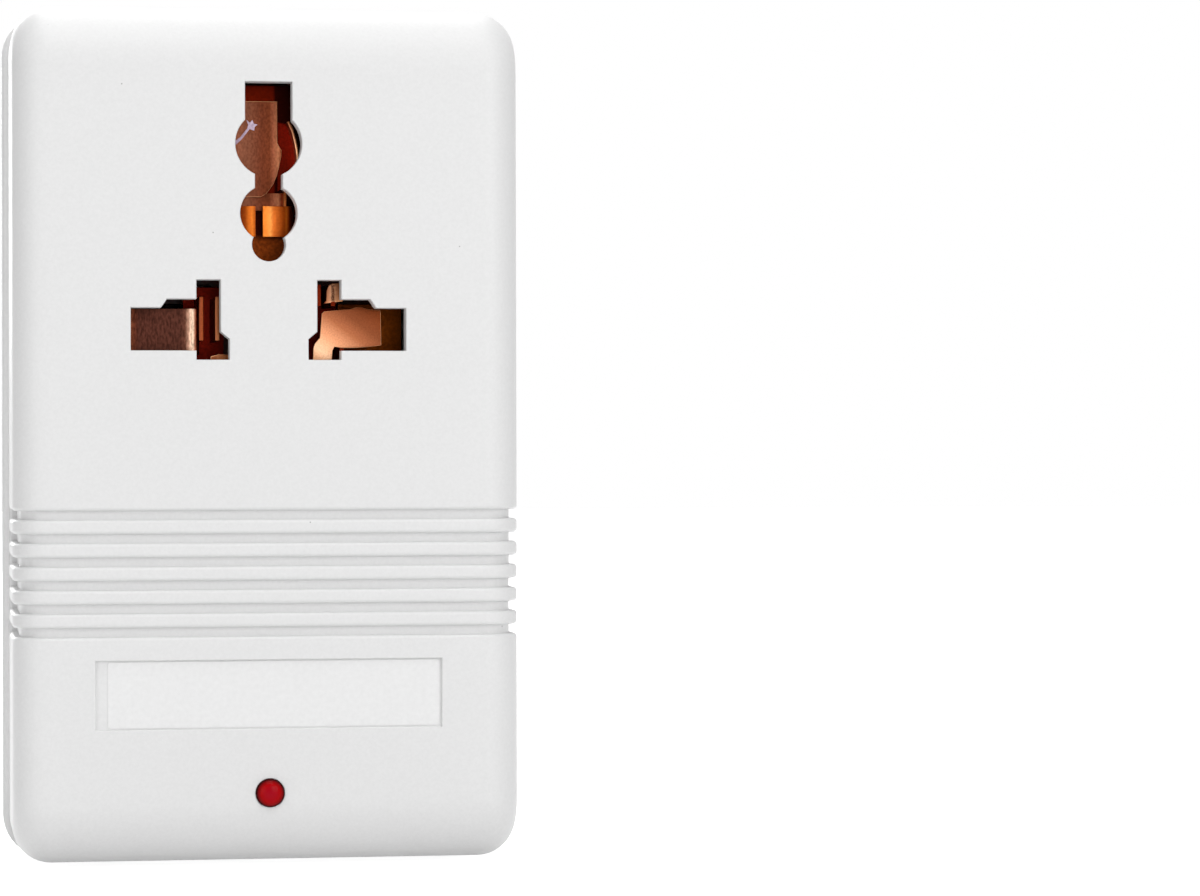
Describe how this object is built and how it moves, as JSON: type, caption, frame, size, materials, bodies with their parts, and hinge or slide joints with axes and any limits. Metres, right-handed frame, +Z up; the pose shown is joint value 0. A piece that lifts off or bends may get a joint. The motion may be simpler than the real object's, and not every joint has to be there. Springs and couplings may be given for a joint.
{
  "type": "travel voltage converter",
  "caption": "White step-down travel converter: universal socket with red lamp in front, flat-blade plug and voltage selector behind, ribbed grip bands, transformer inside",
  "frame": {"origin": "centre of the bounding box in X and Y, at its lowest level in Z, under the standing case", "axes": "+Z up along the case's length, the socket face looks along -Y, the plug blades point along +Y, +X is on the right when the socket face is looked at"},
  "size_m": [0.0548, 0.0576, 0.0916],
  "materials": {
    "white_abs": "satin moulded",
    "zinc_plated_steel": "zinc plated",
    "brushed_copper": "pressed copper alloy sheet, tarnished",
    "tinned_copper": "pressed copper alloy sheet, bright and tarnished",
    "phenolic_board": "machined phenolic",
    "nickel_plated_brass": "dull nickel plate",
    "silicon_steel": "varnished lamination edges",
    "nylon": "moulded",
    "tinned_wire": "tinned",
    "enamelled_copper": "enamelled wire, wound",
    "polyester_tape": "yellow tape",
    "fuse_ceramic": "glazed",
    "black_nylon": "moulded, ribbed",
    "nickel_plated_steel": "nickel plated",
    "red_epoxy": "tinted clear epoxy",
    "resistor_lacquer": "lacquered",
    "diode_epoxy": "moulded epoxy",
    "pvc_black": "extruded",
    "pvc_brown": "extruded",
    "pvc_blue": "extruded",
    "pvc_yellow": "extruded",
    "pvc_red": "extruded",
    "paper_sticker": "printed paper"
  },
  "bodies": {
    "case": {"front_shell": "white_abs", "back_shell": "white_abs", "case_screws": "zinc_plated_steel", "line_contact": "brushed_copper", "neutral_contact": "brushed_copper", "earth_contact": "tinned_copper", "contact_plate": "phenolic_board", "contact_plate_screws": "zinc_plated_steel", "line_blade": "nickel_plated_brass", "neutral_blade": "nickel_plated_brass", "blade_clamp": "phenolic_board", "blade_clamp_screws": "zinc_plated_steel", "e_laminations": "silicon_steel", "i_laminations": "silicon_steel", "bobbin": "nylon", "bobbin_pins": "tinned_wire", "inner_winding": "enamelled_copper", "interlayer_tape": "polyester_tape", "outer_winding": "enamelled_copper", "outer_tape": "polyester_tape", "core_screws": "zinc_plated_steel", "core_washers": "zinc_plated_steel", "thermal_fuse": "fuse_ceramic", "selector_frame": "nickel_plated_steel", "selector_base": "phenolic_board", "selector_terminals": "brushed_copper", "selector_screws": "zinc_plated_steel", "selector_jumpers": "tinned_wire", "indicator_led": "red_epoxy", "led_leads": "tinned_wire", "led_resistor": "resistor_lacquer", "led_diode": "diode_epoxy", "fuse_wire": "pvc_black", "selector_input_wire": "pvc_black", "output_line_wire": "pvc_brown", "input_neutral_wire": "pvc_blue", "output_neutral_wire": "pvc_blue", "tap_110_wire": "pvc_yellow", "tap_220_wire": "pvc_red", "led_line_wire": "pvc_brown", "led_neutral_wire": "pvc_blue", "inspection_sticker": "paper_sticker"},
    "selector": {"selector_slider": "black_nylon", "selector_bridges": "brushed_copper"}
  },
  "joints": [
    {"name": "selector_slide", "type": "slide", "parent": "case", "child": "selector", "axis": [1, 0, 0], "range_m": [0, 0.003]}
  ]
}
